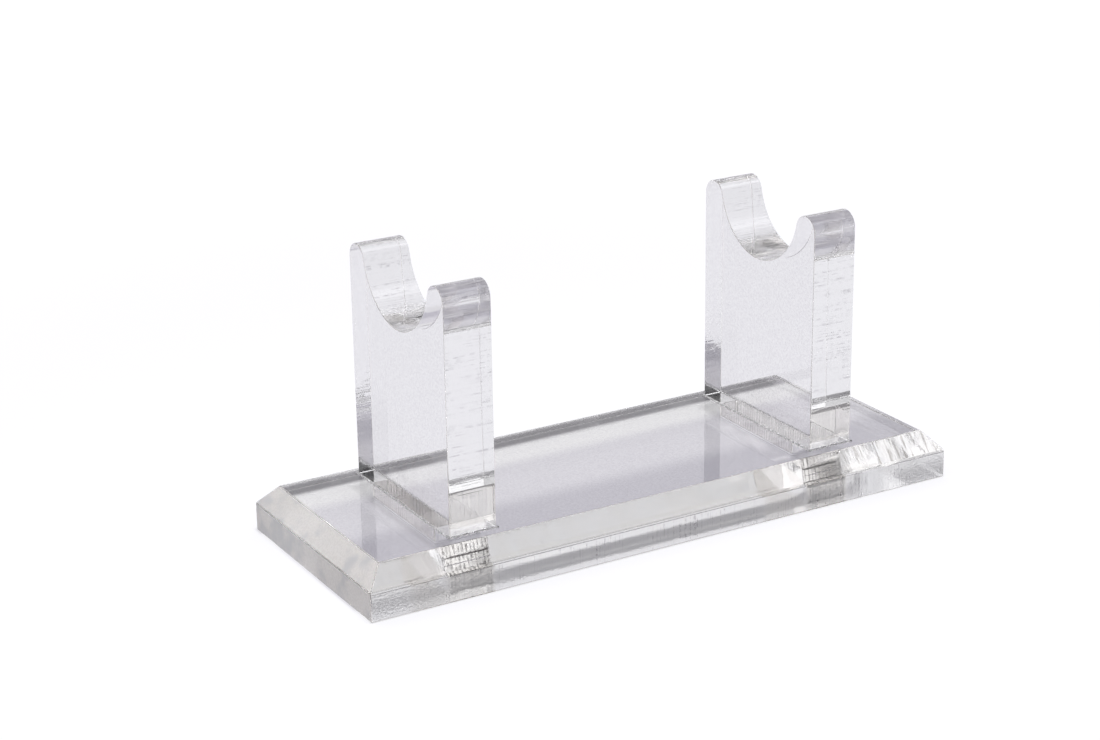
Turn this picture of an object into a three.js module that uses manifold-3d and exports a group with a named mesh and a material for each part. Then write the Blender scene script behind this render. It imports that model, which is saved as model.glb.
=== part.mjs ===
// A free-standing stand that shows one pen lying across two open cradles.
// It is cut from clear acrylic sheet: a base plate with bevelled top edges, and two
// upright plates whose tenons pass through slots in the base.
//
// Millimetres, +Z up. X runs along the base, Y across it, and the origin is the
// middle of the underside, which is the face that the stand rests on.

import * as THREE from 'three';
import { ConvexGeometry } from 'three/addons/geometries/ConvexGeometry.js';
import { mergeVertices } from 'three/addons/utils/BufferGeometryUtils.js';
import Module from 'manifold-3d';

// Base plate
const EDGE_HEIGHT = 4.4; // upright part of the plate's edge, below the bevel
const BEVEL_DROP = 3.1; // height of the bevel round the top face
const BEVEL_RUN = 2.8; // width of that bevel, seen from above
const LEDGE = 1.95; // flat top left between an upright and the bevel beside it
const END_MARGIN = 15; // from each end of the base to the outer face of an upright
const CLEAR_SPAN = 55; // from the inner face of one upright to that of the other

// Uprights
const UPRIGHT_THICKNESS = 7.5;
const CRADLE_RADIUS = 10;
const CRADLE_FLOOR_RISE = 27; // lowest point of a cradle above the top of the base
const CRADLE_LIFT = 2.7; // centre of the cradle's arc above the centres of the horns' tips
const HORN_RADIUS = 2.4; // full-round tip of a horn

// Joint between an upright and the base
const SHOULDER_WIDTH = 4.5; // part of an upright that rests on the base, at each side of its tenon
const SLOT_CLEARANCE = 0.3; // gap round the tenon in its slot
const CUT_OVERRUN = 2; // how far a slot's cutter reaches past each face of the base

const ARC_DIVISIONS = 20; // doubled on each arc of the outline

// Sizes that follow from the values above
const baseThickness = EDGE_HEIGHT + BEVEL_DROP;
const hornOffset = Math.sqrt((CRADLE_RADIUS + HORN_RADIUS) ** 2 - CRADLE_LIFT ** 2);
const uprightWidth = 2 * (hornOffset + HORN_RADIUS);
const tenonWidth = uprightWidth - 2 * SHOULDER_WIDTH;
const cradleCentreHeight = baseThickness + CRADLE_FLOOR_RISE + CRADLE_RADIUS;
const hornCentreHeight = cradleCentreHeight - CRADLE_LIFT;
const baseLength = 2 * END_MARGIN + 2 * UPRIGHT_THICKNESS + CLEAR_SPAN;
const baseWidth = uprightWidth + 2 * (LEDGE + BEVEL_RUN);

// Middle of each upright's thickness, along X
const uprightOffset = (CLEAR_SPAN + UPRIGHT_THICKNESS) / 2;

const clearAcrylic = new THREE.MeshStandardMaterial({
  name: 'clear_acrylic',
  color: 0xe8e7ee,
  roughness: 0.05,
  metalness: 0,
  transparent: true,
  opacity: 0.35,
});

// A closed three.js geometry as a solid that can be cut
function toSolid(wasm, geometry) {
  const bare = geometry.clone();
  bare.deleteAttribute('normal');
  bare.deleteAttribute('uv');
  const merged = mergeVertices(bare);
  return new wasm.Manifold(
    new wasm.Mesh({
      numProp: 3,
      vertProperties: new Float32Array(merged.attributes.position.array),
      triVerts: new Uint32Array(merged.index.array),
    })
  );
}

// A solid as a three.js geometry again
function toGeometry(solid) {
  const mesh = solid.getMesh();
  const geometry = new THREE.BufferGeometry();
  geometry.setAttribute('position', new THREE.BufferAttribute(mesh.vertProperties, 3));
  geometry.setIndex(new THREE.BufferAttribute(mesh.triVerts, 1));
  geometry.computeVertexNormals();
  return geometry;
}

// The four corners of a level rectangle about the Z axis
function levelCorners(length, width, height) {
  const corners = [];
  for (const x of [-length / 2, length / 2]) {
    for (const y of [-width / 2, width / 2]) {
      corners.push(new THREE.Vector3(x, y, height));
    }
  }
  return corners;
}

// Base plate with its bevel, before the slots are cut
function bevelledPlate() {
  return new ConvexGeometry([
    ...levelCorners(baseLength, baseWidth, 0),
    ...levelCorners(baseLength, baseWidth, EDGE_HEIGHT),
    ...levelCorners(baseLength - 2 * BEVEL_RUN, baseWidth - 2 * BEVEL_RUN, baseThickness),
  ]);
}

// Cutter for the slot that takes the tenon of the upright at a given place along X
function slotCutter(x) {
  const cutter = new THREE.BoxGeometry(
    UPRIGHT_THICKNESS + 2 * SLOT_CLEARANCE,
    tenonWidth + 2 * SLOT_CLEARANCE,
    baseThickness + 2 * CUT_OVERRUN
  );
  return cutter.translate(x, 0, baseThickness / 2);
}

function basePlateGeometry(wasm) {
  let plate = toSolid(wasm, bevelledPlate());
  for (const x of [-uprightOffset, uprightOffset]) {
    plate = plate.subtract(toSolid(wasm, slotCutter(x)));
  }
  return toGeometry(plate);
}

// Outline of an upright as seen along X: tenon, shoulders, straight sides, and two
// horns whose round tips run smoothly into the arc of the cradle between them
function uprightOutline() {
  const halfWidth = uprightWidth / 2;
  const halfTenon = tenonWidth / 2;
  const lean = Math.atan2(CRADLE_LIFT, hornOffset);
  const outline = new THREE.Shape();
  outline.moveTo(-halfTenon, 0);
  outline.lineTo(halfTenon, 0);
  outline.lineTo(halfTenon, baseThickness);
  outline.lineTo(halfWidth, baseThickness);
  outline.lineTo(halfWidth, hornCentreHeight);
  outline.absarc(hornOffset, hornCentreHeight, HORN_RADIUS, 0, Math.PI - lean, false);
  outline.absarc(0, cradleCentreHeight, CRADLE_RADIUS, -lean, lean - Math.PI, true);
  outline.absarc(-hornOffset, hornCentreHeight, HORN_RADIUS, lean, Math.PI, false);
  outline.lineTo(-halfWidth, baseThickness);
  outline.lineTo(-halfTenon, baseThickness);
  outline.closePath();
  return outline;
}

function uprightGeometry() {
  const plate = new THREE.ExtrudeGeometry(uprightOutline(), {
    depth: UPRIGHT_THICKNESS,
    bevelEnabled: false,
    curveSegments: ARC_DIVISIONS,
  });
  plate.translate(0, 0, -UPRIGHT_THICKNESS / 2);
  const acrossToY = new THREE.Vector3(0, 1, 0);
  const upToZ = new THREE.Vector3(0, 0, 1);
  const throughToX = new THREE.Vector3(1, 0, 0);
  return plate.applyMatrix4(new THREE.Matrix4().makeBasis(acrossToY, upToZ, throughToX));
}

function namedMesh(name, geometry) {
  const mesh = new THREE.Mesh(geometry, clearAcrylic);
  mesh.name = name;
  return mesh;
}

function upright(name, x) {
  const mesh = namedMesh(name, uprightGeometry());
  mesh.position.x = x;
  return mesh;
}

const wasm = await Module();
wasm.setup();

const stand = new THREE.Group();
stand.add(namedMesh('base_plate', basePlateGeometry(wasm)));
stand.add(upright('left_upright', -uprightOffset));
stand.add(upright('right_upright', uprightOffset));

export default stand;
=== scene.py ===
"""A clear acrylic display stand for one pen, as it looks on a pale studio table.

The stand is a bevelled base plate and two upright plates with open cradles. Every
plate is rebuilt here with broken edges, a fine joint between tenon and slot, and the
marks that sawing, sanding, polishing and cementing leave on acrylic sheet.

Metres throughout, +Z up; MM turns the shop sizes in millimetres into metres.
"""

import logging
import math
from abc import ABC, abstractmethod
from collections.abc import Callable, Iterator
from contextlib import contextmanager
from dataclasses import dataclass, field
from enum import Enum
from typing import ClassVar

import bmesh
import bpy
from mathutils import Matrix, Vector


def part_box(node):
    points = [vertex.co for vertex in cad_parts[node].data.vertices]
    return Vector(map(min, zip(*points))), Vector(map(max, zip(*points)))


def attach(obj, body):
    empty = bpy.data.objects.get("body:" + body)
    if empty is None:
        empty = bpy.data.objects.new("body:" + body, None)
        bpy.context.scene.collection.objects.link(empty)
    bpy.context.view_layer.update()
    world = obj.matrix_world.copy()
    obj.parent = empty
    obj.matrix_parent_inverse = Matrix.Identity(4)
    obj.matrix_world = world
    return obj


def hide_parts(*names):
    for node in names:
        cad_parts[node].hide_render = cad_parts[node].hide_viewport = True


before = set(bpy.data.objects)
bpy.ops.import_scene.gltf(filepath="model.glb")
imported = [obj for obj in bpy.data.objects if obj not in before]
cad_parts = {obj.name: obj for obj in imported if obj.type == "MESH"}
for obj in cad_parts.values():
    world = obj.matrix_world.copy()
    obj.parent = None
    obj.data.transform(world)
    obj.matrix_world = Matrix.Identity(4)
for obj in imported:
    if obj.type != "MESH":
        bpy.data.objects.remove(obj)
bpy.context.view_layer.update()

LOG = logging.getLogger("pen_stand")

MM = 0.001
ACRYLIC_IOR = 1.49
WHITE = (1.0, 1.0, 1.0, 1.0)
SHARP = math.radians(30)  # faces that meet at less than this belong to one arc
SMOOTH = math.radians(12)  # and at less than this they are shaded as one
EDGE_FLATS = 3  # flats across a broken edge
FACING = 0.9  # least part of a face's normal along the axis that the face looks along
LEANING = 0.3  # greatest part along Z for an upright face, and least for the bevel's

Colour = tuple[float, float, float, float]
Span = tuple[float, float]
Piece = bpy.types.Object
Socket = bpy.types.NodeSocket
Feed = Socket | float | tuple[float, ...]
Edge = bmesh.types.BMEdge
PartTest = Callable[[bmesh.types.BMVert | Edge | bmesh.types.BMFace], bool]


class LinesAlong(Enum):
    """The way that lines run on a face, as the squeeze that draws a pattern out."""

    X = (0.02, 1.0, 1.0)
    Z = (1.0, 1.0, 0.02)


class Across(Enum):
    """The axis that a sheet face looks along, as the squeeze that flattens a pattern."""

    X = (0.0, 1.0, 1.0)
    Z = (1.0, 1.0, 0.0)


class BodyName(Enum):
    """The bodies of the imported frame."""

    ROOT = "root"


class Parts(Enum):
    """What is selected in a mesh: the select mode, and bmesh's name for the list."""

    POINTS = ("VERT", "verts")
    EDGES = ("EDGE", "edges")
    FACES = ("FACE", "faces")


class Ray(Enum):
    """The kinds of ray that a surface or the room may answer each in its own way."""

    CAMERA = "Is Camera Ray"
    SHADOW = "Is Shadow Ray"
    DIFFUSE = "Is Diffuse Ray"
    GLOSSY = "Is Glossy Ray"
    TRANSMISSION = "Is Transmission Ray"


class Bench:
    """The modelling moves that every piece is made with."""

    @staticmethod
    def clear() -> None:
        """Deselects everything, so that an operator meets only what is picked next."""
        if bpy.context.object and bpy.context.object.mode != "OBJECT":
            bpy.ops.object.mode_set(mode="OBJECT")
        bpy.ops.object.select_all(action="DESELECT")

    @staticmethod
    def pick(piece: Piece) -> None:
        """Makes one object the only selected and the active one.

        Args:
            piece: the object to work on.
        """
        Bench.clear()
        piece.select_set(True)
        bpy.context.view_layer.objects.active = piece

    @staticmethod
    @contextmanager
    def editing(piece: Piece) -> Iterator[None]:
        """Edit mode on one object, with nothing selected in its mesh at the start.

        Args:
            piece: the object whose mesh is edited.
        """
        Bench.pick(piece)
        bpy.ops.object.mode_set(mode="EDIT")
        bpy.ops.mesh.select_mode(type="VERT")
        bpy.ops.mesh.select_all(action="DESELECT")
        yield
        bpy.ops.object.mode_set(mode="OBJECT")

    @staticmethod
    def settle(name: str, scale: Vector) -> Piece:
        """Names and scales the primitive that was just added, and applies its place.

        Args:
            name: the object's name.
            scale: factor along each of its axes.

        Returns:
            The object, at the origin.
        """
        made = bpy.context.object
        made.name = made.data.name = name
        made.scale = scale
        bpy.ops.object.transform_apply(location=True, rotation=True, scale=True)
        return made

    @staticmethod
    def block(name: str, low: Vector, high: Vector) -> Piece:
        """A box between two corners.

        Args:
            name: the object's name.
            low: lowest corner.
            high: highest corner.

        Returns:
            The new object, at the origin.
        """
        Bench.clear()
        bpy.ops.mesh.primitive_cube_add(size=1, location=(low + high) / 2)
        return Bench.settle(name, high - low)

    @staticmethod
    def sheet(name: str, middle: Vector, size: Span, turn: float = 0.0) -> Piece:
        """A flat rectangle.

        Args:
            name: the object's name.
            middle: its middle.
            size: its length and width.
            turn: angle about Y by which it is turned up from lying flat.

        Returns:
            The new object, at the origin.
        """
        Bench.clear()
        bpy.ops.mesh.primitive_plane_add(size=1, location=middle, rotation=(0, turn, 0))
        return Bench.settle(name, Vector((*size, 1)))

    @staticmethod
    def select(piece: Piece, parts: Parts, wanted: PartTest) -> None:
        """Selects the points, edges or faces that pass a test, in edit mode.

        Args:
            piece: the object in edit mode.
            parts: what is selected.
            wanted: True for each one to select.
        """
        mode, members = parts.value
        bpy.ops.mesh.select_mode(type=mode)
        mesh = bmesh.from_edit_mesh(piece.data)
        for part in getattr(mesh, members):
            part.select_set(wanted(part))
        mesh.select_flush_mode()
        bmesh.update_edit_mesh(piece.data)

    @staticmethod
    def extrude(offset: Vector) -> None:
        """Extrudes what is selected and moves it, in edit mode."""
        bpy.ops.mesh.extrude_region_move(TRANSFORM_OT_translate={"value": offset})

    @staticmethod
    def close_up() -> None:
        """Selects the whole mesh and turns its faces outwards, in edit mode."""
        bpy.ops.mesh.select_all(action="SELECT")
        bpy.ops.mesh.normals_make_consistent(inside=False)

    @staticmethod
    def cut(piece: Piece, cutter: Piece) -> None:
        """Takes the cutter's shape out of the piece and removes the cutter.

        Args:
            piece: the object that is cut.
            cutter: a closed mesh.
        """
        Bench.pick(piece)
        step = piece.modifiers.new("cut", "BOOLEAN")
        step.operation = "DIFFERENCE"
        step.solver = "EXACT"
        step.object = cutter
        bpy.ops.object.modifier_apply(modifier=step.name)
        bpy.data.objects.remove(cutter)

    @staticmethod
    def rise(edge: Edge) -> float:
        """How much higher one end of an edge is than the other."""
        first, second = edge.verts
        return abs(first.co.z - second.co.z)

    @staticmethod
    def break_edges(piece: Piece, width_of: Callable[[Edge], float], widest: float,
                    finish_slot: int) -> None:
        """Takes the sharpness off the edges, each by its own width, as a scraper does.

        Args:
            piece: the object whose edges are broken.
            width_of: the width of the broken edge for each edge, 0 to leave it sharp.
            widest: the greatest of those widths.
            finish_slot: the material slot of the finish that broken edges have.
        """
        with Bench.editing(piece):
            mesh = bmesh.from_edit_mesh(piece.data)
            weight = mesh.edges.layers.float.new("bevel_weight_edge")
            for edge in mesh.edges:
                on_arc = edge.calc_face_angle(0.0) < SHARP
                edge[weight] = 0.0 if on_arc else width_of(edge) / widest
            bmesh.update_edit_mesh(piece.data)
        Bench.pick(piece)
        step = piece.modifiers.new("broken edges", "BEVEL")
        step.width = widest
        step.segments = EDGE_FLATS
        step.limit_method = "WEIGHT"
        step.material = finish_slot
        step.harden_normals = True
        bpy.ops.object.shade_smooth_by_angle(angle=SMOOTH)
        bpy.ops.object.modifier_apply(modifier=step.name)


class Nodes:
    """Adds nodes to one tree, each by a short call that returns what the node gives."""

    def __init__(self, tree: bpy.types.NodeTree) -> None:
        """Keeps the tree."""
        self.tree = tree

    def add(self, kind: str, feeds: dict[str | int, Feed], **options: object) -> bpy.types.Node:
        """Adds one node.

        Args:
            kind: Blender's name for the kind of node.
            feeds: a socket or a plain value for each input that is set.
            options: the node's own settings.

        Returns:
            The new node.
        """
        node = self.tree.nodes.new(kind)
        for name, value in options.items():
            setattr(node, name, value)
        self.feed(node, feeds)
        return node

    def feed(self, node: bpy.types.Node, feeds: dict[str | int, Feed]) -> None:
        """Links or sets inputs of a node.

        Args:
            node: the node.
            feeds: a socket or a plain value for each input that is set.
        """
        for name, feed in feeds.items():
            if isinstance(feed, Socket):
                self.tree.links.new(feed, node.inputs[name])
            else:
                node.inputs[name].default_value = feed

    def shade(self, feeds: dict[str | int, Feed]) -> Socket:
        """Links or sets inputs of the tree's Principled shader.

        Args:
            feeds: a socket or a plain value for each input that is set.

        Returns:
            The shader's surface.
        """
        shader = self.tree.nodes["Principled BSDF"]
        self.feed(shader, feeds)
        return shader.outputs["BSDF"]

    def place(self) -> Socket:
        """The point that is shaded, in the piece's own metres."""
        return self.add("ShaderNodeTexCoord", {}).outputs["Object"]

    def axis(self, letter: str) -> Socket:
        """One coordinate of the point that is shaded."""
        return self.add("ShaderNodeSeparateXYZ", {0: self.place()}).outputs[letter]

    def from_middle(self) -> Socket:
        """How far the point that is shaded is from the middle of the stand, along it."""
        return self.math("ABSOLUTE", self.axis("X"))

    def squeezed(self, scale: tuple[float, float, float], turn: float = 0.0) -> Socket:
        """The point that is shaded, squeezed so that a pattern stretches along an axis.

        Args:
            scale: factor along each axis; a small one draws the pattern out.
            turn: angle by which the pattern is turned about Y, in degrees.

        Returns:
            The squeezed point.
        """
        angles = (0.0, math.radians(turn), 0.0)
        feeds = {"Vector": self.place(), "Scale": scale, "Rotation": angles}
        return self.add("ShaderNodeMapping", feeds).outputs["Vector"]

    def math(self, operation: str, first: Feed, second: Feed = 0.0) -> Socket:
        """One step of arithmetic on two numbers."""
        return self.add("ShaderNodeMath", {0: first, 1: second}, operation=operation).outputs[0]

    def fade(self, value: Feed, span: Span, low: Feed = 0.0, high: Feed = 1.0) -> Socket:
        """A smooth change from one level to another.

        Args:
            value: what drives the change.
            span: the values at which the change starts and is complete.
            low: level before the change.
            high: level after it.

        Returns:
            The level.
        """
        start, stop = span
        feeds = {"Value": value, "From Min": start, "From Max": stop, "To Min": low, "To Max": high}
        node = self.add("ShaderNodeMapRange", feeds, interpolation_type="SMOOTHSTEP")
        return node.outputs["Result"]

    def blend(self, share: Feed, first: Feed, second: Feed) -> Socket:
        """A mix of two colours."""
        node = self.add("ShaderNodeMix", {0: share, 6: first, 7: second}, data_type="RGBA")
        return node.outputs[2]

    def overlay(self, share: Feed, first: Socket, second: Socket) -> Socket:
        """A mix of two shaders."""
        return self.add("ShaderNodeMixShader", {0: share, 1: first, 2: second}).outputs["Shader"]

    def relief(self, height: Socket, depth: float, strength: Feed = 1.0,
               under: Socket | None = None) -> Socket:
        """A surface normal that follows a height pattern.

        Args:
            height: the pattern, from 0 to 1.
            depth: height of the pattern's full range.
            strength: how strongly it shows, from 0 to 1.
            under: a normal that the relief is laid on.

        Returns:
            The normal.
        """
        feeds: dict[str | int, Feed] = {"Height": height, "Distance": depth, "Strength": strength}
        if under is not None:
            feeds["Normal"] = under
        return self.add("ShaderNodeBump", feeds).outputs["Normal"]

    def either_ray(self, first: Ray, second: Ray) -> Socket:
        """1 for a ray of either kind, and 0 for any other."""
        path = self.add("ShaderNodeLightPath", {}).outputs
        return self.math("MAXIMUM", path[first.value], path[second.value])

    def camera_ray(self) -> Socket:
        """1 for what the camera sees directly, and 0 for any other ray."""
        return self.add("ShaderNodeLightPath", {}).outputs[Ray.CAMERA.value]


@dataclass(frozen=True)
class Cloud:
    """A cloudy pattern, whose denser parts show as patches.

    Attributes:
        size: size of the patches.
        detail: how many finer layers the pattern has.
        span: levels of the pattern at which a patch begins and is full.
    """

    size: float
    detail: float = 2.0
    span: Span = (0.0, 1.0)

    def level(self, nodes: Nodes, point: Socket | None = None) -> Socket:
        """The pattern itself.

        Args:
            nodes: the material's nodes.
            point: the point that it is read at, if it isn't the one that is shaded.

        Returns:
            Its level, from 0 to 1.
        """
        feeds = {"Vector": point or nodes.place(), "Scale": 1 / self.size, "Detail": self.detail}
        return nodes.add("ShaderNodeTexNoise", feeds).outputs["Fac"]

    def patches(self, nodes: Nodes, low: Feed = 0.0, high: Feed = 1.0,
                point: Socket | None = None) -> Socket:
        """The patches.

        Args:
            nodes: the material's nodes.
            low: level between the patches.
            high: level in them.
            point: the point that they are read at, if it isn't the one that is shaded.

        Returns:
            The level.
        """
        return nodes.fade(self.level(nodes, point), self.span, low, high)


@dataclass(frozen=True)
class ClearFinish(ABC):
    """A clear face of cast acrylic sheet; each kind of finish adds its own marks to it.

    Attributes:
        name: name of the material.
        tint: the colour that the face gives to what shows through it.
        roughness: how much the face scatters, from 0 for a polished one.
        clearness: share of the light that passes; the rest is scattered as by frost.
        light_share: how much of the lamp's light the face lets straight through to the
            table; a sloping face bends most of it away.
    """

    name: str
    tint: Colour = (0.995, 0.995, 0.995, 1.0)
    roughness: float = 0.0
    clearness: float = 1.0
    light_share: float = 0.96

    @abstractmethod
    def mark(self, nodes: Nodes) -> Socket:
        """Adds the marks of this finish to the clear face.

        Args:
            nodes: the material's nodes.

        Returns:
            The finished surface.
        """

    def build(self) -> bpy.types.Material:
        """Makes the material.

        Returns:
            A material that reads Object coordinates.
        """
        made = bpy.data.materials.new(self.name)
        made.use_nodes = True
        nodes = Nodes(made.node_tree)
        nodes.shade({
            "Base Color": self.tint,
            "Roughness": self.roughness,
            "IOR": ACRYLIC_IOR,
            "Transmission Weight": self.clearness,
        })
        surface = self.mark(nodes)
        lit = nodes.either_ray(Ray.SHADOW, Ray.DIFFUSE)
        level = (self.light_share, self.light_share, self.light_share, 1)
        straight = nodes.add("ShaderNodeBsdfTransparent", {"Color": level}).outputs["BSDF"]
        output = made.node_tree.nodes["Material Output"]
        nodes.feed(output, {"Surface": nodes.overlay(lit, surface, straight)})
        return made


@dataclass(frozen=True)
class PolishedFace(ClearFinish):
    """The sheet's own glossy face, with a few specks of dust in it.

    Attributes:
        across: the axis that the face looks along.
        speck_spacing: distance between the places where a speck may lie.
        speck_size: radius of a speck.
        speck_core: share of that radius within which the speck is dense.
        speck_share: share of those places that hold one.
        speck_roughness: how much a speck scatters.
        dust: the tint of a speck.
        grain: the faint grain that handling leaves on the face.
        haze: the tint of that grain.
        wave: the slight waviness of the face.
        wave_depth: its depth.
    """

    across: Across = Across.Z
    speck_spacing: float = 13 * MM
    speck_size: float = 0.22 * MM
    speck_core: float = 0.4
    speck_share: float = 0.35
    speck_roughness: float = 0.6
    dust: Colour = (0.12, 0.11, 0.11, 1.0)
    grain: Cloud = Cloud(0.35 * MM, 4.0, (0.38, 0.64))
    haze: Colour = (0.88, 0.87, 0.89, 1.0)
    wave: Cloud = Cloud(14 * MM)
    wave_depth: float = 0.012 * MM

    def mark(self, nodes: Nodes) -> Socket:
        """Adds the grain, the specks and the slight waviness.

        Args:
            nodes: the material's nodes.

        Returns:
            The finished surface.
        """
        flat = nodes.squeezed(self.across.value)
        cells = nodes.add(
            "ShaderNodeTexVoronoi", {"Vector": flat, "Scale": 1 / self.speck_spacing}
        )
        chance = nodes.add("ShaderNodeSeparateXYZ", {0: cells.outputs["Color"]}).outputs["X"]
        size = self.speck_size / self.speck_spacing
        near = nodes.fade(cells.outputs["Distance"], (self.speck_core * size, size), 1.0, 0.0)
        speck = nodes.math("MULTIPLY", near, nodes.math("LESS_THAN", chance, self.speck_share))
        hazy = nodes.blend(self.grain.patches(nodes), self.tint, self.haze)
        return nodes.shade({
            "Base Color": nodes.blend(speck, hazy, self.dust),
            "Roughness": nodes.math("MULTIPLY", speck, self.speck_roughness),
            "Normal": nodes.relief(self.wave.level(nodes), self.wave_depth),
        })


@dataclass(frozen=True)
class CutEdge(ClearFinish):
    """An edge as the cutting beam leaves it: glossy, with lines across the sheet.

    Attributes:
        lines: the way the lines run, through the sheet's thickness.
        pitch: spacing of the coarse lines.
        depth: depth of the coarse lines.
        fine: spacing and depth of the fine lines, as shares of those of the coarse ones.
        heavy: the patches in which the lines are deep.
        lightly: their depth elsewhere, as a share of that.
        stain: the tint that the deepest lines have.
        stained: levels of the fine lines between which the stain sets in.
        broken: the patches in which the stain shows.
        dull: the patches that scatter more than the rest.
        dullness: what the roughness is multiplied by outside them and in them.
        pits: depth of the pits that the cutter tore toward the plate's ends.
        pit: the pattern of those pits.
        torn: distances from the middle of the stand between which they deepen.
        torn_least: their depth in the middle, as a share of that.
    """

    lines: LinesAlong = LinesAlong.Z
    pitch: float = 0.65 * MM
    depth: float = 0.035 * MM
    fine: Span = (0.4, 1 / 3)
    heavy: Cloud = Cloud(5 * MM, span=(0.42, 0.58))
    lightly: float = 0.2
    stain: Colour = (0.50, 0.485, 0.51, 1.0)
    stained: Span = (0.5, 0.72)
    broken: Cloud = Cloud(0.8 * MM, 3.0, (0.42, 0.6))
    dull: Cloud = Cloud(1.6 * MM, span=(0.4, 0.6))
    dullness: Span = (0.7, 1.3)
    pits: float = 0.0
    pit: Cloud = Cloud(0.35 * MM, 3.0)
    torn: Span = (22 * MM, 44 * MM)
    torn_least: float = 0.12

    def mark(self, nodes: Nodes) -> Socket:
        """Adds the lines, deeper in some patches than in others, and the pits.

        Args:
            nodes: the material's nodes.

        Returns:
            The finished surface.
        """
        drawn_out = nodes.squeezed(self.lines.value)
        coarse_lines = Cloud(self.pitch, 1.0).level(nodes, drawn_out)
        fine_pitch, fine_depth = self.fine[0] * self.pitch, self.fine[1] * self.depth
        fine_lines = Cloud(fine_pitch, 1.0).level(nodes, drawn_out)
        heavy = self.heavy.patches(nodes, self.lightly)
        lined = nodes.relief(coarse_lines, self.depth, heavy)
        lined = nodes.relief(fine_lines, fine_depth, heavy, lined)
        if self.pits:
            torn = nodes.fade(nodes.from_middle(), self.torn, self.torn_least)
            lined = nodes.relief(self.pit.level(nodes), self.pits, torn, lined)
        deep = nodes.math("MULTIPLY", nodes.fade(fine_lines, self.stained), heavy)
        stained = nodes.math("MULTIPLY", deep, self.broken.patches(nodes))
        least, most = (factor * self.roughness for factor in self.dullness)
        return nodes.shade({
            "Base Color": nodes.blend(stained, self.tint, self.stain),
            "Roughness": self.dull.patches(nodes, least, most),
            "Normal": lined,
        })


@dataclass(frozen=True)
class SandedFace(ClearFinish):
    """A face that was sanded and not polished: a soft warm frost with a few cool blotches.

    Attributes:
        blotch: the pattern of the blotches.
        stain: their tint.
        grain: the grain of the sanding.
        grain_tint: the tint of that grain.
        dull: the patches that scatter more than the rest.
        dullness: what the roughness is multiplied by outside them and in them.
        wave: the waviness that sanding by hand leaves.
        wave_depth: its depth.
    """

    blotch: Cloud = Cloud(4 * MM, 3.0, (0.46, 0.68))
    stain: Colour = (0.75, 0.745, 0.76, 1.0)
    grain: Cloud = Cloud(0.3 * MM, span=(0.42, 0.6))
    grain_tint: Colour = (0.88, 0.85, 0.83, 1.0)
    dull: Cloud = Cloud(4 * MM, span=(0.3, 0.7))
    dullness: Span = (0.9, 1.1)
    wave: Cloud = Cloud(3 * MM, 1.0)
    wave_depth: float = 0.02 * MM

    def mark(self, nodes: Nodes) -> Socket:
        """Adds the blotches, the grain and the slight waviness.

        Args:
            nodes: the material's nodes.

        Returns:
            The finished surface.
        """
        grainy = nodes.blend(self.grain.patches(nodes), self.tint, self.grain_tint)
        least, most = (factor * self.roughness for factor in self.dullness)
        return nodes.shade({
            "Base Color": nodes.blend(self.blotch.patches(nodes), grainy, self.stain),
            "Roughness": self.dull.patches(nodes, least, most),
            "Normal": nodes.relief(self.wave.level(nodes), self.wave_depth),
        })


@dataclass(frozen=True)
class MilledBevel(ClearFinish):
    """A bevel that was milled and polished: soft streaks, and chatter toward its ends.

    The deepest marks are stained, but only toward the right end.

    Attributes:
        streak: the pattern of the streaks and the levels at which their painted glint sets in.
        streak_depth: depth of the streaks.
        painted_glint_tint: faint painted yellow on the streaks, for glints of dispersed light.
        dulled: levels of the streaks between which they scatter more.
        dullness: what the roughness is then multiplied by.
        chatter: the pattern of the chatter marks, which run down the slope, and the
            levels between which they count as deep.
        chatter_depth: depth of the marks.
        chatter_zone: distances from the middle of the stand between which they set in.
        chatter_tint: the tint of the deepest marks.
        milling: the pattern of the fine lines that run along the bevel.
        milling_depth: depth of those lines.
        across: the squeeze that draws the streaks out, and the turn of their slant.
        down: the same for the chatter marks.
    """

    streak: Cloud = Cloud(1.8 * MM, 3.0, (0.35, 0.65))
    streak_depth: float = 0.03 * MM
    painted_glint_tint: Colour = (0.98, 0.965, 0.94, 1.0)
    dulled: Span = (0.45, 0.7)
    dullness: float = 3.0
    chatter: Cloud = Cloud(0.45 * MM, 3.0, (0.54, 0.6))
    chatter_depth: float = 0.04 * MM
    chatter_zone: Span = (24 * MM, 38 * MM)
    chatter_tint: Colour = (0.36, 0.34, 0.31, 1.0)
    milling: Cloud = Cloud(0.3 * MM)
    milling_depth: float = 0.004 * MM
    across: tuple[tuple[float, float, float], float] = ((1.0, 0.25, 0.25), 20.0)
    down: tuple[tuple[float, float, float], float] = ((1.0, 0.08, 0.08), 8.0)

    def mark(self, nodes: Nodes) -> Socket:
        """Adds the streaks, the chatter marks and the milling lines.

        Args:
            nodes: the material's nodes.

        Returns:
            The finished surface.
        """
        streaks = self.streak.level(nodes, nodes.squeezed(*self.across))
        marks = self.chatter.level(nodes, nodes.squeezed(*self.down))
        lines = self.milling.level(nodes, nodes.squeezed(LinesAlong.X.value))
        at_both_ends = nodes.fade(nodes.from_middle(), self.chatter_zone)
        at_right_end = nodes.fade(nodes.axis("X"), self.chatter_zone)
        deep = nodes.math("MULTIPLY", nodes.fade(marks, self.chatter.span), at_right_end)
        # painted glint: the streaks are tinted faintly yellow
        warm = nodes.blend(nodes.fade(streaks, self.streak.span), self.tint, self.painted_glint_tint)
        waves = nodes.relief(streaks, self.streak_depth)
        waves = nodes.relief(marks, self.chatter_depth, at_both_ends, waves)
        dullest = self.dullness * self.roughness
        return nodes.shade({
            "Base Color": nodes.blend(deep, warm, self.chatter_tint),
            "Roughness": nodes.fade(streaks, self.dulled, self.roughness, dullest),
            "Normal": nodes.relief(lines, self.milling_depth, under=waves),
        })


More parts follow.
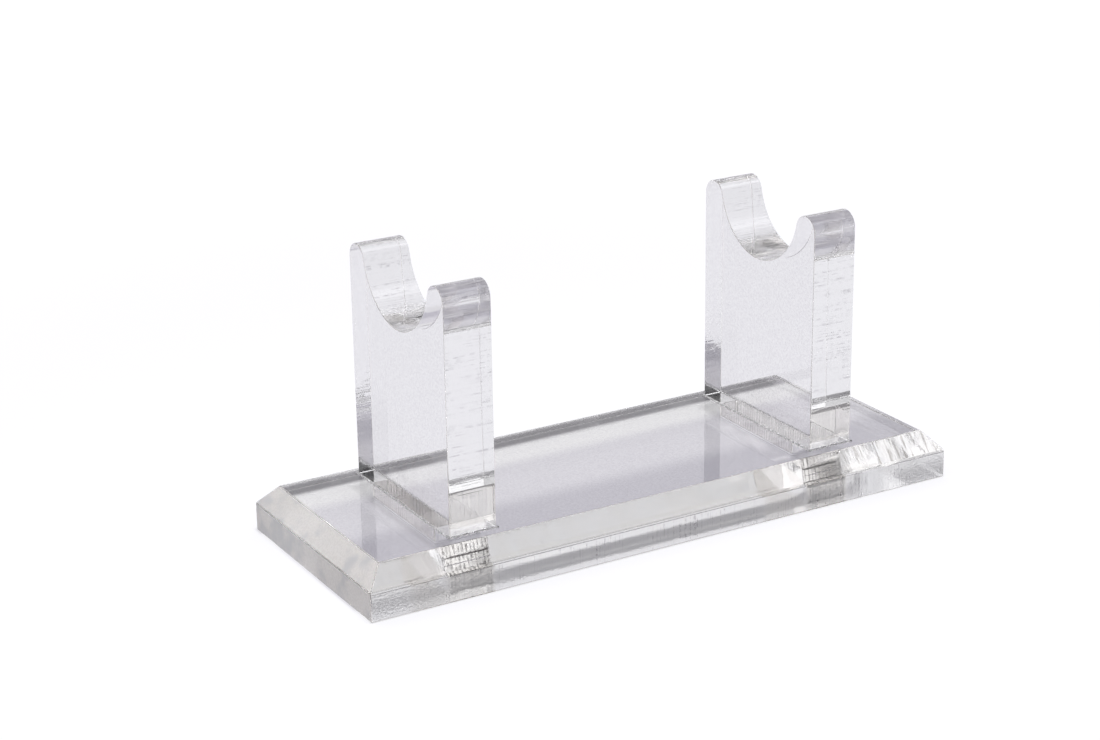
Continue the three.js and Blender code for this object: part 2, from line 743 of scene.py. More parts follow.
@dataclass(frozen=True)
class JointWall(ClearFinish):
    """A wall of a slot or tenon: where the cement took, the two plates are one to the eye.

    Attributes:
        bond: least and greatest share of the wall that the cement made vanish.
        took: the patches in which the cement took best.
        cement: the tint of the cement.
        cement_foot: heights between which the cement sets in from below.
        seam: the tint of the line that the cement's lower end draws.
        seam_height: height of that line.
        seam_reach: half the width of that line.
        sway: the pattern by which the cement's lower end wanders up and down.
        sway_height: how far it wanders.
        rib_pitch: spacing of the upright ribs that the cutter left.
        rib_depth: depth of those ribs.
        rib_tint: the tint of the deepest ribs.
        ribbed: levels of the ribs between which that tint sets in.
        ticks: how dark the ticks in the ribs are, from 0 to 1.
        tick_pitch: spacing of the ticks.
        tick_core: levels of the ticks' bands between which a tick shows.
        tick_sway: how far the bands are pushed about, and how coarsely.
        tick_patches: the patches in which the ticks show.
    """

    bond: Span = (0.9, 1.0)
    took: Cloud = Cloud(0.5 * MM, span=(0.35, 0.65))
    cement: Colour = (0.95, 0.94, 0.93, 1.0)
    cement_foot: Span = (1.0 * MM, 1.1 * MM)
    seam: Colour = (0.12, 0.11, 0.11, 1.0)
    seam_height: float = 1.27 * MM
    seam_reach: float = 0.09 * MM
    sway: Cloud = Cloud(0.6 * MM, 3.0)
    sway_height: float = 0.3 * MM
    rib_pitch: float = 0.3 * MM
    rib_depth: float = 0.015 * MM
    rib_tint: Colour = (0.93, 0.92, 0.90, 1.0)
    ribbed: Span = (0.45, 0.58)
    ticks: float = 0.9
    tick_pitch: float = 0.65 * MM
    tick_core: Span = (0.8, 0.92)
    tick_sway: Span = (2.5, 0.6)
    tick_patches: Cloud = Cloud(0.9 * MM, span=(0.34, 0.44))

    def tick(self, nodes: Nodes) -> Socket:
        """The dark ticks: upright, almost evenly spaced and broken up.

        Args:
            nodes: the material's nodes.

        Returns:
            How dark the wall is there, from 0 to 1.
        """
        period_at_scale_one = math.pi / 5
        push, coarseness = self.tick_sway
        feeds = {
            "Vector": nodes.squeezed(LinesAlong.Z.value),
            "Scale": period_at_scale_one / self.tick_pitch,
            "Distortion": push,
            "Detail Scale": coarseness,
        }
        bands = nodes.add("ShaderNodeTexWave", feeds, bands_direction="DIAGONAL")
        dark = nodes.fade(bands.outputs["Fac"], self.tick_core, 0.0, self.ticks)
        return nodes.math("MULTIPLY", dark, self.tick_patches.patches(nodes))

    def mark(self, nodes: Nodes) -> Socket:
        """Adds the ribs, the ticks and the seam, and makes the cemented part vanish.

        Args:
            nodes: the material's nodes.

        Returns:
            The finished surface.
        """
        drawn_out = nodes.squeezed(LinesAlong.Z.value)
        ribs = Cloud(self.rib_pitch).level(nodes, drawn_out)
        sway = nodes.math("MULTIPLY", self.sway.level(nodes), self.sway_height)
        sway = nodes.math("SUBTRACT", sway, self.sway_height / 2)
        height = nodes.math("ADD", nodes.axis("Z"), sway)
        off = nodes.math("ABSOLUTE", nodes.math("SUBTRACT", height, self.seam_height))
        line = nodes.fade(off, (self.seam_reach / 2, self.seam_reach), 1.0, 0.0)
        dark = nodes.math("MAXIMUM", line, self.tick(nodes))
        ribbed = nodes.blend(nodes.fade(ribs, self.ribbed), self.tint, self.rib_tint)
        wall = nodes.shade({
            "Base Color": nodes.blend(dark, ribbed, self.seam),
            "Normal": nodes.relief(ribs, self.rib_depth),
        })
        above = nodes.fade(height, self.cement_foot)
        took = self.took.patches(nodes, *self.bond, drawn_out)
        shown = nodes.math("SUBTRACT", 1.0, dark)
        bonded = nodes.math("MULTIPLY", nodes.math("MULTIPLY", above, took), shown)
        film = nodes.add("ShaderNodeBsdfTransparent", {"Color": self.cement}).outputs["BSDF"]
        return nodes.overlay(bonded, wall, film)


@dataclass(frozen=True)
class WornEdge(ClearFinish):
    """A broken edge or a bead of cement: uneven, with glints and dull nicks.

    Attributes:
        nick: the pattern of the nicks.
        depth: depth of the nicks.
        dullness: what the roughness is multiplied by in them.
    """

    nick: Cloud = Cloud(0.5 * MM, 3.0, (0.4, 0.6))
    depth: float = 0.05 * MM
    dullness: float = 3.0

    def mark(self, nodes: Nodes) -> Socket:
        """Adds the nicks.

        Args:
            nodes: the material's nodes.

        Returns:
            The finished surface.
        """
        nicks = self.nick.level(nodes)
        dullest = self.dullness * self.roughness
        return nodes.shade({
            "Roughness": nodes.fade(nicks, self.nick.span, self.roughness, dullest),
            "Normal": nodes.relief(nicks, self.depth),
        })


FACE_X = PolishedFace("polished_face_x", across=Across.X)
FACE_Z = PolishedFace("polished_face_z", across=Across.Z)
CUT_X = CutEdge("cut_edge_x", roughness=0.04, lines=LinesAlong.X)
CUT_X_BACK = CutEdge("cut_edge_x_back", roughness=0.08, lines=LinesAlong.X)
CUT_Z = CutEdge("cut_edge_z", roughness=0.04, clearness=0.92, light_share=0.4)
CUT_Z_FRONT = CutEdge(
    "cut_edge_z_front", roughness=0.04, clearness=0.7, light_share=0.4, pits=0.06 * MM
)
TENON_FOOT = CutEdge("tenon_foot", roughness=0.03, lines=LinesAlong.X, light_share=0.9)
SANDED = SandedFace(
    "sanded_face", tint=(0.97, 0.94, 0.92, 1.0), roughness=0.42, clearness=0.45, light_share=0.9
)
MILLED = MilledBevel("milled_bevel", roughness=0.03, light_share=0.85)
MILLED_BACK = MilledBevel("milled_bevel_back", roughness=0.03, light_share=0.25)
JOINT_CLEAR = JointWall("joint_clear", roughness=0.05, light_share=0.8, ticks=0.3)
JOINT_PARTLY = JointWall(
    "joint_partly", roughness=0.2, bond=(0.45, 0.9), light_share=0.8, ticks=0.4
)
JOINT_STREAKY = JointWall(
    "joint_streaky", tint=(1.0, 0.965, 0.94, 1.0), roughness=0.1, bond=(0.0, 0.4),
    light_share=0.8, rib_pitch=0.9 * MM, rib_depth=0.04 * MM, tick_pitch=0.9 * MM, ticks=0.8,
    rib_tint=(0.9, 0.88, 0.86, 1.0),
)
JOINT_FRONT = JointWall(
    "joint_front", tint=(1.0, 0.985, 0.95, 1.0), roughness=0.03, bond=(0.0, 0.1),
    light_share=0.8, seam_reach=0.2 * MM,
)
JOINT_BACK = JointWall(
    "joint_back", tint=(1.0, 0.985, 0.95, 1.0), roughness=0.03, bond=(0.0, 0.1),
    light_share=0.8, ticks=0.1,
)
SHOULDER = JointWall("shoulder_seat", roughness=0.1, bond=(0.0, 0.1), light_share=0.8, ticks=0.0)
SHOULDER_FRONT = JointWall(
    "shoulder_seat_front", roughness=0.1, bond=(0.3, 0.7), light_share=0.8, ticks=0.0
)
JOINT_WALLS = (JOINT_CLEAR, JOINT_PARTLY, JOINT_STREAKY, JOINT_FRONT, JOINT_BACK)
EDGE = WornEdge("broken_edge", roughness=0.08, light_share=0.6)
# painted shade: a dark tint on the back rim's broken edge stands in for the shade there
PAINTED_SHADE_EDGE = WornEdge(
    "painted_shade_edge", tint=(0.22, 0.20, 0.19, 1.0), roughness=0.15, light_share=0.2
)
BRIGHT_EDGE = WornEdge("scraped_edge", roughness=0.06, clearness=0.85, depth=0.01 * MM)
CEMENT = WornEdge("cement_bead", roughness=0.15, light_share=0.6)


def joint_finish(place: Vector, way: Vector) -> JointWall:
    """The finish of one wall in a joint.

    Args:
        place: middle of the wall.
        way: the wall's normal.

    Returns:
        The finish: the cement took best on the left walls, least on the end walls.
    """
    if abs(way.y) > abs(way.x):
        return JOINT_FRONT if place.y < 0 else JOINT_BACK
    low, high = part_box("right_upright")
    middle_of_joint = math.copysign((low.x + high.x) / 2, place.x)
    if place.x < middle_of_joint:
        return JOINT_CLEAR
    return JOINT_STREAKY if place.x < 0 else JOINT_PARTLY


@dataclass
class Plate(ABC):
    """A plate of the stand, which takes its place and size from its node of the frame.

    Attributes:
        finishes: the finishes of the plate's faces, in the order of its material slots.
        node: the node that the plate stands for.
        low: lowest corner of that node.
        high: highest corner of that node.
    """

    finishes: ClassVar[tuple[ClearFinish, ...]]
    node: str
    low: Vector = field(init=False)
    high: Vector = field(init=False)

    def __post_init__(self) -> None:
        """Takes the plate's place and size from the frame."""
        self.low, self.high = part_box(self.node)

    @abstractmethod
    def finish_of(self, face: bpy.types.MeshPolygon) -> ClearFinish:
        """The finish of one face of the plate.

        Args:
            face: a face of the plate before its edges are broken.

        Returns:
            Its finish.
        """

    def dress(self, plate: Piece) -> None:
        """Gives each face of the plate its finish.

        Args:
            plate: the plate before its edges are broken.
        """
        for finish in self.finishes:
            plate.data.materials.append(finish.build())
        for face in plate.data.polygons:
            face.material_index = self.finishes.index(self.finish_of(face))

    def hand_over(self, plate: Piece, slot: str) -> None:
        """Puts the finished plate in its node's place.

        Args:
            plate: the finished plate.
            slot: not used.
        """
        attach(plate, BodyName.ROOT.value)
        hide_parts(self.node)


@dataclass
class BasePlate(Plate):
    """The bevelled plate that the uprights stand in.

    Attributes:
        bevel_run: width of the bevel round the top face, seen from above.
        bevel_drop: height of that bevel.
        inner: half the length and half the width of the part that holds the slots.
        joint_gap: gap left round a tenon.
        slot_corner: radius that the cutter leaves in the corners of a slot.
        corner_steps: flats on the arc of such a corner.
        cut_overrun: how far a slot's cutter reaches past each face of the plate.
        edge_break: width of the broken edges.
        shoulder_break: width of the broken edge below the bevel.
        foot_break: width of the broken edge round the underside.
        rim_break: width of the broken edges round the slots in the top face.
    """

    finishes = (FACE_Z, CUT_Z, CUT_Z_FRONT, MILLED, MILLED_BACK, SANDED, *JOINT_WALLS)
    bevel_run: float = 2.8 * MM
    bevel_drop: float = 3.1 * MM
    inner: Span = (46.5 * MM, 16 * MM)
    joint_gap: float = 0.04 * MM
    slot_corner: float = 0.4 * MM
    corner_steps: int = 4
    cut_overrun: float = 2 * MM
    edge_break: float = 0.14 * MM
    shoulder_break: float = 0.32 * MM
    foot_break: float = 0.22 * MM
    rim_break: float = 0.05 * MM

    def shoulder(self) -> float:
        """Height at which the bevel starts."""
        return self.high.z - self.bevel_drop

    def is_inner(self, place: Vector) -> bool:
        """Tells whether a place is in the part of the plate that holds the slots."""
        return abs(place.x) < self.inner[0] and abs(place.y) < self.inner[1]

    def build(self, tenons: list[tuple[Vector, Vector]]) -> Piece:
        """Models the plate and cuts its slots.

        Args:
            tenons: lowest and highest corner of each tenon.

        Returns:
            The finished plate.
        """
        top_of_block = Vector((self.high.x, self.high.y, self.shoulder()))
        plate = Bench.block(f"{self.node}_clear", self.low, top_of_block)
        length, width = self.high.x - self.low.x, self.high.y - self.low.y
        narrowed = (1 - 2 * self.bevel_run / length, 1 - 2 * self.bevel_run / width, 1)
        with Bench.editing(plate):
            Bench.select(plate, Parts.FACES, lambda face: face.normal.z > FACING)
            Bench.extrude(Vector((0, 0, self.bevel_drop)))
            bpy.ops.transform.resize(value=narrowed, center_override=(0, 0, self.high.z))
        for low, high in tenons:
            Bench.cut(plate, self.slot_cutter(low, high))
        self.dress(plate)
        broken = len(self.finishes)
        Bench.break_edges(plate, self.break_width, self.shoulder_break, broken)
        edges = (EDGE, PAINTED_SHADE_EDGE, BRIGHT_EDGE)
        for finish in edges:
            plate.data.materials.append(finish.build())
        for face in plate.data.polygons:
            if face.material_index == broken:
                face.material_index += edges.index(self.edge_finish(face.center))
        self.hand_over(plate, "base_acrylic")
        return plate

    def slot_cutter(self, low: Vector, high: Vector) -> Piece:
        """Models the cutter for one slot, with its upright edges rounded.

        Args:
            low: lowest corner of the tenon.
            high: highest corner of the tenon.

        Returns:
            The cutter.
        """
        room = Vector((self.joint_gap, self.joint_gap, self.cut_overrun))
        cutter = Bench.block("slot_cutter", low - room, high + room)
        with Bench.editing(cutter):
            Bench.select(cutter, Parts.EDGES, lambda edge: Bench.rise(edge) > self.cut_overrun)
            bpy.ops.mesh.bevel(offset=self.slot_corner, segments=self.corner_steps)
        return cutter

    def edge_finish(self, place: Vector) -> WornEdge:
        """The finish of a broken edge: painted shade along the back rim, bright where scraped.

        Args:
            place: a point on the broken edge.

        Returns:
            Its finish.
        """
        near = 2 * self.edge_break
        # painted shade along the back rim of the top face
        if place.z > self.high.z - near and place.y > self.high.y - self.bevel_run - near:
            return PAINTED_SHADE_EDGE
        below_bevel = abs(place.z - self.shoulder()) < self.shoulder_break
        if below_bevel and place.y < self.low.y + self.shoulder_break:
            return BRIGHT_EDGE
        if place.z < self.foot_break and place.y > self.high.y - self.foot_break:
            return BRIGHT_EDGE
        return EDGE

    def break_width(self, edge: Edge) -> float:
        """The width by which an edge of the plate is broken.

        Args:
            edge: an edge of the plate.

        Returns:
            The width, 0 for an edge that stays sharp.
        """
        first, second = (point.co for point in edge.verts)
        middle = (first + second) / 2
        if self.is_inner(middle):
            on_top = min(first.z, second.z) > self.high.z - self.rim_break
            return self.rim_break if on_top else 0.0
        if middle.z < self.edge_break:
            return self.foot_break
        below_bevel = abs(middle.z - self.shoulder()) < self.edge_break
        sanded = middle.x < self.low.x + self.edge_break
        return self.shoulder_break if below_bevel and not sanded else self.edge_break

    def finish_of(self, face: bpy.types.MeshPolygon) -> ClearFinish:
        """The finish of one face of the plate.

        Args:
            face: a face of the plate before its edges are broken.

        Returns:
            Its finish.
        """
        place, way = face.center, face.normal
        if abs(way.z) > FACING:
            return FACE_Z
        if self.is_inner(place):
            return joint_finish(place, way)
        if place.x < -self.inner[0] and abs(way.x) > abs(way.y):
            return SANDED
        if abs(way.z) < LEANING:
            return CUT_Z_FRONT if way.y < -FACING else CUT_Z
        return MILLED_BACK if way.y > LEANING else MILLED


@dataclass
class Pencil:
    """The selected end of a line of edges, which is drawn on in a plane square to X.

    Attributes:
        here: the place of that end.
    """

    here: Vector

    def line_to(self, y: float, z: float) -> None:
        """Draws a straight edge.

        Args:
            y: its far end, along Y.
            z: its far end, along Z.
        """
        goal = Vector((self.here.x, y, z))
        Bench.extrude(goal - self.here)
        self.here = goal

    def arc(self, y: float, z: float, turn: float, steps: int) -> None:
        """Draws an arc.

        Args:
            y: its centre, along Y.
            z: its centre, along Z.
            turn: the angle that it turns through about X.
            steps: how many edges it is made of.
        """
        centre = Vector((self.here.x, y, z))
        bpy.ops.mesh.spin(steps=steps, angle=turn, center=centre, axis=(-1, 0, 0))
        self.here = centre + Matrix.Rotation(turn, 3, "X") @ (self.here - centre)


@dataclass
class Upright(Plate):
    """One upright plate: tenon, shoulders, straight sides, and a cradle between two horns.

    Attributes:
        tenon_width: width of the tenon across the stand.
        base_thickness: height of the shoulders above the table.
        horn_radius: full-round tip of a horn.
        cradle_lift: centre of the cradle's arc above the centres of the horns' tips.
        seat_gap: gap left under the shoulders, where little cement came.
        edge_break: width of the broken edges.
        tenon_break: width of the broken upright edges of the tenon.
        foot_break: width of the broken edges round the tenon's end.
        horn_steps: flats on a horn's arc.
        cradle_steps: flats on the cradle's arc.
        weld: distance within which the ends of the outline are joined.
    """

    finishes = (
        FACE_X, CUT_X, CUT_X_BACK, TENON_FOOT, SHOULDER, SHOULDER_FRONT, *JOINT_WALLS
    )
    tenon_width: float = 20 * MM
    base_thickness: float = 7.5 * MM
    horn_radius: float = 2.4 * MM
    cradle_lift: float = 2.7 * MM
    seat_gap: float = 0.03 * MM
    edge_break: float = 0.12 * MM
    tenon_break: float = 0.4 * MM
    foot_break: float = 0.03 * MM
    horn_steps: int = 40
    cradle_steps: int = 64
    weld: float = 0.005 * MM

    def seat(self) -> float:
        """Height of the undersides of the shoulders."""
        return self.base_thickness + self.seat_gap

    def tenon(self) -> tuple[Vector, Vector]:
        """The room that the tenon takes.

        Returns:
            Its lowest and its highest corner.
        """
        half = self.tenon_width / 2
        top = Vector((self.high.x, half, self.base_thickness))
        return Vector((self.low.x, -half, self.low.z)), top

    def outline(self) -> None:
        """Draws the outline from the tenon's foot round to it again, in edit mode.

        Only the point at the start, the back corner of the foot, is selected.
        """
        half, half_tenon = self.high.y, self.tenon_width / 2
        horn_height = self.high.z - self.horn_radius
        horn_place = half - self.horn_radius
        lean = math.atan2(self.cradle_lift, horn_place)
        pencil = Pencil(Vector((self.low.x, half_tenon, self.low.z)))
        pencil.line_to(half_tenon, self.seat())
        pencil.line_to(half, self.seat())
        pencil.line_to(half, horn_height)
        pencil.arc(horn_place, horn_height, math.pi - lean, self.horn_steps)
        pencil.arc(0, horn_height + self.cradle_lift, 2 * lean - math.pi, self.cradle_steps)
        pencil.arc(-horn_place, horn_height, math.pi - lean, self.horn_steps)
        pencil.line_to(-half, self.seat())
        pencil.line_to(-half_tenon, self.seat())
        pencil.line_to(-half_tenon, self.low.z)

    def build(self) -> Piece:
        """Models the plate.

        Returns:
            The finished plate.
        """
        half = self.tenon_width / 2
        middle = Vector((self.low.x, 0, half))
        size = (self.tenon_width, self.tenon_width)
        plate = Bench.sheet(f"{self.node}_clear", middle, size, math.pi / 2)
        with Bench.editing(plate):
            Bench.select(plate, Parts.POINTS, lambda point: point.co.z > half)
            bpy.ops.mesh.delete(type="VERT")
            Bench.select(plate, Parts.POINTS, lambda point: point.co.y > 0)
            self.outline()
            bpy.ops.mesh.select_all(action="SELECT")
            bpy.ops.mesh.remove_doubles(threshold=self.weld)
            bpy.ops.mesh.edge_face_add()
            Bench.extrude(Vector((self.high.x - self.low.x, 0, 0)))
            Bench.close_up()
            bpy.ops.mesh.bisect(plane_co=(0, 0, self.seat()), plane_no=(0, 0, 1))
        self.dress(plate)
        Bench.break_edges(plate, self.break_width, self.tenon_break, len(self.finishes))
        plate.data.materials.append(EDGE.build())
        self.hand_over(plate, "upright_acrylic")
        return plate

    def break_width(self, edge: Edge) -> float:
        """The width by which an edge of the plate is broken.

        Args:
            edge: an edge of the plate.

        Returns:
            The width.
        """
        top = max(point.co.z for point in edge.verts)
        if top < self.base_thickness / 2:
            return self.foot_break
        upright = Bench.rise(edge) > self.base_thickness / 2
        in_slot = top < self.seat() + self.seat_gap
        return self.tenon_break if upright and in_slot else self.edge_break

    def finish_of(self, face: bpy.types.MeshPolygon) -> ClearFinish:
        """The finish of one face of the plate.

        Args:
            face: a face of the plate before its edges are broken.

        Returns:
            Its finish.
        """
        place, way = face.center, face.normal
        if way.z < -FACING and place.z < self.base_thickness / 2:
            return TENON_FOOT
        if way.z < -FACING:
            return SHOULDER_FRONT if place.y < 0 else SHOULDER
        if place.z < self.base_thickness:
            return joint_finish(place, way)
        if abs(way.x) > FACING:
            return FACE_X
        return CUT_X_BACK if way.y > FACING else CUT_X


@dataclass
class CementBead:
    """The thin, uneven bead of cement that was squeezed out round an upright's foot.

    Attributes:
        upright: the plate that it runs round.
        width: width of the bead on the base.
        height: height of the bead on the upright.
        gap: gap left to both plates.
        rounding: how much of the height the rounding of the outer corner takes.
        rounding_steps: flats on the arc of that rounding.
        smooth: angle below which the bead's faces are shaded as one, in degrees.
        unevenness: how far the bead's surface wanders.
        steps: how many cuts divide each side.
        seed: which of the random surfaces it has.
    """

    upright: Upright
    width: float = 0.3 * MM
    height: float = 0.22 * MM
    gap: float = 0.01 * MM
    rounding: float = 0.7
    rounding_steps: int = 3
    smooth: float = 50.0
    unevenness: float = 0.05 * MM
    steps: int = 48
    seed: int = 4

    def seat(self) -> float:
        """Height of the bead's underside."""
        return self.upright.base_thickness + self.gap

    def build(self) -> Piece:
        """Models the bead.

        Returns:
            The finished bead.
        """
        plate, reach = self.upright, self.width + self.gap
        middle = (plate.low + plate.high) / 2
        middle.z = self.seat()
        length, width = (plate.high - plate.low).xy + Vector((2 * reach, 2 * reach))
        bead = Bench.sheet(f"{plate.node}_cement", middle, (length, width))
        with Bench.editing(bead):
            bpy.ops.mesh.select_all(action="SELECT")
            bpy.ops.mesh.inset(thickness=self.width)
            bpy.ops.mesh.delete(type="FACE")
            Bench.select(bead, Parts.EDGES, lambda edge: edge.calc_length() > 2 * self.width)
            bpy.ops.mesh.subdivide(number_cuts=self.steps)
            bpy.ops.mesh.select_mode(type="VERT")
            bpy.ops.mesh.select_all(action="SELECT")
            Bench.extrude(Vector((0, 0, self.height)))
            Bench.close_up()
            self.round_off(bead)
        bpy.ops.object.shade_smooth_by_angle(angle=math.radians(self.smooth))
        bead.data.materials.append(CEMENT.build())
        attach(bead, BodyName.ROOT.value)
        return bead

    def round_off(self, bead: Piece) -> None:
        """Rounds the bead's outer corner and makes it uneven, in edit mode.

        Args:
            bead: the bead, still square in section.
        """
        middle = self.seat() + self.height / 2
        Bench.select(
            bead, Parts.POINTS, lambda point: point.co.z > middle and self.is_outer(point.co)
        )
        bpy.ops.mesh.bevel(offset=self.rounding * self.height, segments=self.rounding_steps)
        Bench.select(bead, Parts.POINTS, lambda point: self.is_outer(point.co))
        bpy.ops.transform.vertex_random(
            offset=self.unevenness, uniform=1.0, normal=0.0, seed=self.seed, wait_for_input=False
        )
        mesh = bmesh.from_edit_mesh(bead.data)
        for point in mesh.verts:
            point.co.z = max(point.co.z, self.seat())
        bmesh.update_edit_mesh(bead.data)

    def is_outer(self, place: Vector) -> bool:
        """Tells whether a point of the bead is clear of the upright.

        Args:
            place: the point.

        Returns:
            True if it is.
        """
        plate, clear = self.upright, self.width / 4
        return not (
            plate.low.x - clear < place.x < plate.high.x + clear
            and plate.low.y - clear < place.y < plate.high.y + clear
        )


@dataclass(frozen=True)
class Glow:
    """A soft round patch of the room that is brighter or darker than the rest.

    Attributes:
        toward: the way to the middle of the patch.
        full: how far from the middle the patch is at full strength, in degrees.
        gone: how far from the middle it has faded away, in degrees.
        gain: what the patch multiplies the room's brightness by.
    """

    toward: Vector
    full: float
    gone: float
    gain: float

    def apply(self, nodes: Nodes, way: Socket, strength: Socket) -> Socket:
        """Lays the patch over the room's brightness.

        Args:
            nodes: the world's nodes.
            way: the direction that is looked at.
            strength: the brightness so far.

        Returns:
            The brightness with the patch in it.
        """
        toward = self.toward.normalized()
        aim = nodes.add("ShaderNodeVectorMath", {0: way, 1: toward}, operation="DOT_PRODUCT")
        span = (math.cos(math.radians(self.gone)), math.cos(math.radians(self.full)))
        gain = nodes.fade(aim.outputs["Value"], span, 1.0, self.gain)
        return nodes.math("MULTIPLY", strength, gain)


@dataclass(frozen=True)
class TableTop:
    """The pale table, seen white where no shadow falls; painted shade and light lie under the base.

    Attributes:
        open_colour: the table's colour away from the stand.
        painted_shades: painted shade and light in the table's colour under the base, which
            shows through it, from the back to the front: the span across the stand in which
            it is reached, and the colour. The band near the back edge is the back bevel's
            painted shadow.
        painted_front_shade: that painted colour in front of the last span.
        half_size: half the length and half the width of the base's footprint, to which the
            painted shade is held.
        soft: half the width of the soft edge of the part with painted shade.
        haze: what the camera sees added near the stand and far from it, which hides the
            faint edge of the lit area.
        haze_reach: distances from the stand at which those two are reached.
        lift: what is added near and far for rays that come through the acrylic.
        lift_reach: distances from the stand at which those two are reached.
    """

    open_colour: Colour = (0.80, 0.795, 0.83, 1.0)
    painted_shades: tuple[tuple[Span, Colour], ...] = (
        ((16.9 * MM, 17.9 * MM), (0.62, 0.60, 0.65, 1.0)),
        ((9 * MM, 13.5 * MM), (0.97, 0.965, 0.98, 1.0)),
        ((-5.5 * MM, 0.5 * MM), (0.76, 0.745, 0.80, 1.0)),
        ((-16 * MM, -13 * MM), (0.55, 0.535, 0.60, 1.0)),
    )
    painted_front_shade: Colour = (0.90, 0.895, 0.92, 1.0)
    half_size: Span = (50 * MM, 19.25 * MM)
    soft: float = 0.5 * MM
    haze: Span = (0.18, 0.9)
    haze_reach: Span = (0.1, 0.6)
    lift: Span = (0.0, 0.7)
    lift_reach: Span = (0.05, 1.0)

    def within(self, nodes: Nodes, letter: str, half: float) -> Socket:
        """Tells how far a point is within the base's footprint along one axis.

        Args:
            nodes: the table's nodes.
            letter: the axis.
            half: half the size of the footprint along it.

        Returns:
            1 within the footprint and 0 outside it.
        """
        away = nodes.math("ABSOLUTE", nodes.axis(letter))
        return nodes.fade(away, (half - self.soft, half + self.soft), 1.0, 0.0)

    def colour(self, nodes: Nodes) -> Socket:
        """The table's colour, with the painted shade and light under the base.

        Args:
            nodes: the table's nodes.

        Returns:
            The colour.
        """
        across = nodes.axis("Y")
        shade: Feed = self.painted_front_shade
        for span, colour in reversed(self.painted_shades):
            shade = nodes.blend(nodes.fade(across, span), shade, colour)
        # the painted shade and light are held to the base's footprint
        half_length, half_width = self.half_size
        along = self.within(nodes, "X", half_length)
        beside = self.within(nodes, "Y", half_width)
        return nodes.blend(nodes.math("MULTIPLY", along, beside), self.open_colour, shade)

    def build(self) -> bpy.types.Material:
        """Makes the material.

        Returns:
            The table's material.
        """
        material = bpy.data.materials.new("table_top")
        material.use_nodes = True
        nodes = Nodes(material.node_tree)
        reach = nodes.add("ShaderNodeVectorMath", {0: nodes.place()}, operation="LENGTH")
        distance = reach.outputs["Value"]
        haze = nodes.fade(distance, self.haze_reach, *self.haze)
        lift = nodes.fade(distance, self.lift_reach, *self.lift)
        bent = nodes.either_ray(Ray.GLOSSY, Ray.TRANSMISSION)
        seen = nodes.math("MULTIPLY", nodes.camera_ray(), haze)
        glow = nodes.math("ADD", seen, nodes.math("MULTIPLY", bent, lift))
        nodes.shade({
            "Base Color": self.colour(nodes),
            "Roughness": 1.0,
            "Specular IOR Level": 0.0,
            "Emission Color": WHITE,
            "Emission Strength": glow,
        })
        return material


@dataclass(frozen=True)
class Softbox:
    """A soft lamp that faces the stand and lights only the table.

    Attributes:
        name: the lamp's name.
        place: middle of the softbox.
        size: its two sides.
        radiance: how bright its face is, where 1 is white.
    """

    name: str
    place: Vector
    size: Span
    radiance: float

    def build(self) -> None:
        """Hangs the lamp."""
        light = bpy.data.lights.new(self.name, "AREA")
        light.shape = "RECTANGLE"
        light.size, light.size_y = self.size
        light.energy = math.pi * self.radiance * self.size[0] * self.size[1]
        made = bpy.data.objects.new(self.name, light)
        bpy.context.scene.collection.objects.link(made)
        made.location = self.place
        made.rotation_mode = "QUATERNION"
        made.rotation_quaternion = (-self.place).to_track_quat("-Z", "Y")
        made.visible_glossy = made.visible_transmission = False


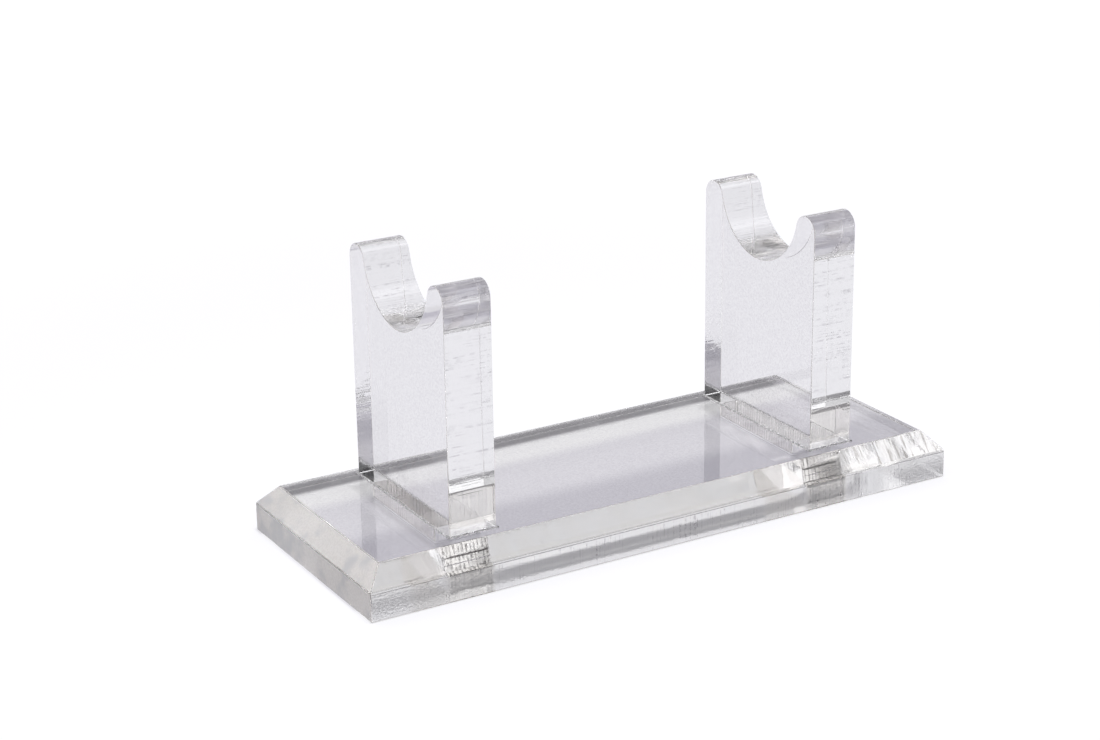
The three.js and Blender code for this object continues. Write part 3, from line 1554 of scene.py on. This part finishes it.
@dataclass
class Studio:
    """The pale table, the light and the camera.

    Attributes:
        azimuth: the way round the stand from which it is seen, in degrees.
        elevation: height of the view above the horizon, in degrees.
        roll: how far the camera is turned about its own axis, in degrees.
        distance: from the camera to the point that it looks at.
        target: the point that it looks at.
        focal_pixels: focal length in pixels of a frame that is frame_width wide.
        frame_width: width of the photograph in pixels.
        clip: distances from the camera between which it sees.
        table_size: side of the square table.
        table_drop: gap between the stand and the table's surface.
        lamp: the one softbox, overhead.
        horizon: brightness of the room at the height of the table.
        sky: its brightness from high up.
        sky_from: how far up the sky's brightness is reached, as the sine of the angle.
        room_colour: the room's colour.
        fill: brightness of the soft light that reaches the table from all round.
        glows: the room's brighter and darker patches.
        bounces: how often light may pass or bounce off a face of the acrylic.
    """

    azimuth: float = -30.117
    elevation: float = 19.71
    roll: float = -0.884
    distance: float = 377.1 * MM
    target: Vector = field(default_factory=lambda: Vector((-4.93, 8.46, 20)) * MM)
    focal_pixels: float = 2469.5
    frame_width: float = 1100.0
    clip: Span = (10 * MM, 20.0)
    table_size: float = 6.0
    table_drop: float = 0.04 * MM
    lamp: Softbox = Softbox("overhead_light", Vector((0, -0.08, 0.9)), (0.16, 0.16), 75)
    horizon: float = 0.64
    sky: float = 0.75
    sky_from: float = 0.45
    room_colour: Colour = (0.985, 0.98, 1.0, 1.0)
    fill: float = 0.33
    glows: tuple[Glow, ...] = (
        Glow(Vector((0.2, -0.92, 0.33)), 30, 48, 0.02),
        Glow(Vector((-0.47, 0.53, 0.71)), 20, 40, 1.6),
        Glow(Vector((0.47, 0.53, 0.71)), 15, 35, 0.9),
        Glow(Vector((0.47, -0.53, 0.71)), 10, 24, 3.5),
    )
    bounces: int = 32

    def camera(self) -> None:
        """Makes the camera and gives it to the scene."""
        around, above = math.radians(self.azimuth), math.radians(self.elevation)
        back = Vector((
            math.sin(around) * math.cos(above),
            -math.cos(around) * math.cos(above),
            math.sin(above),
        ))
        lens = bpy.data.cameras.new("camera")
        lens.lens = self.focal_pixels / self.frame_width * lens.sensor_width
        lens.clip_start, lens.clip_end = self.clip
        made = bpy.data.objects.new("camera", lens)
        bpy.context.scene.collection.objects.link(made)
        made.location = self.target + back * self.distance
        made.rotation_mode = "QUATERNION"
        turn = Matrix.Rotation(math.radians(self.roll), 4, "Z").to_quaternion()
        made.rotation_quaternion = (-back).to_track_quat("-Z", "Y") @ turn
        bpy.context.scene.camera = made

    def table(self) -> None:
        """Lays the table under the stand."""
        place = Vector((0, 0, -self.table_drop))
        made = Bench.sheet("table", place, (self.table_size, self.table_size))
        made.data.materials.append(TableTop().build())

    def world(self) -> None:
        """Lights the room.

        The camera sees it white, acrylic shows its brighter and darker parts, and the
        table gets an even fill from it.
        """
        world = bpy.data.worlds.new("studio")
        bpy.context.scene.world = world
        world.use_nodes = True
        world.cycles.sampling_method = "NONE"
        world.node_tree.nodes.clear()
        nodes = Nodes(world.node_tree)
        way = nodes.add("ShaderNodeTexCoord", {}).outputs["Generated"]
        height = nodes.add("ShaderNodeSeparateXYZ", {0: way}).outputs["Z"]
        strength = nodes.fade(height, (0.0, self.sky_from), self.horizon, self.sky)
        for glow in self.glows:
            strength = glow.apply(nodes, way, strength)
        levels = ((self.room_colour, strength), (WHITE, self.fill), (WHITE, 1.0))
        room, fill, white = (
            nodes.add("ShaderNodeBackground", {"Color": colour, "Strength": level}).outputs[0]
            for colour, level in levels
        )
        lit = nodes.overlay(nodes.either_ray(Ray.GLOSSY, Ray.TRANSMISSION), fill, room)
        whole = nodes.overlay(nodes.camera_ray(), lit, white)
        nodes.add("ShaderNodeOutputWorld", {"Surface": whole})

    def build(self) -> None:
        """Sets up the whole studio."""
        self.table()
        self.world()
        self.lamp.build()
        self.camera()
        scene = bpy.context.scene
        scene.view_settings.view_transform = "Standard"
        scene.cycles.max_bounces = self.bounces
        scene.cycles.transmission_bounces = self.bounces
        scene.cycles.glossy_bounces = self.bounces


def main() -> None:
    """Builds the stand and its surroundings, and logs each piece."""
    logging.basicConfig(level=logging.INFO, format="%(name)s: %(message)s")
    uprights = [Upright("left_upright"), Upright("right_upright")]
    pieces = [BasePlate("base_plate").build([each.tenon() for each in uprights])]
    for each in uprights:
        pieces += [each.build(), CementBead(each).build()]
    Studio().build()
    for piece in pieces:
        LOG.info("%s: %d faces", piece.name, len(piece.data.polygons))


if __name__ == "__main__":
    main()
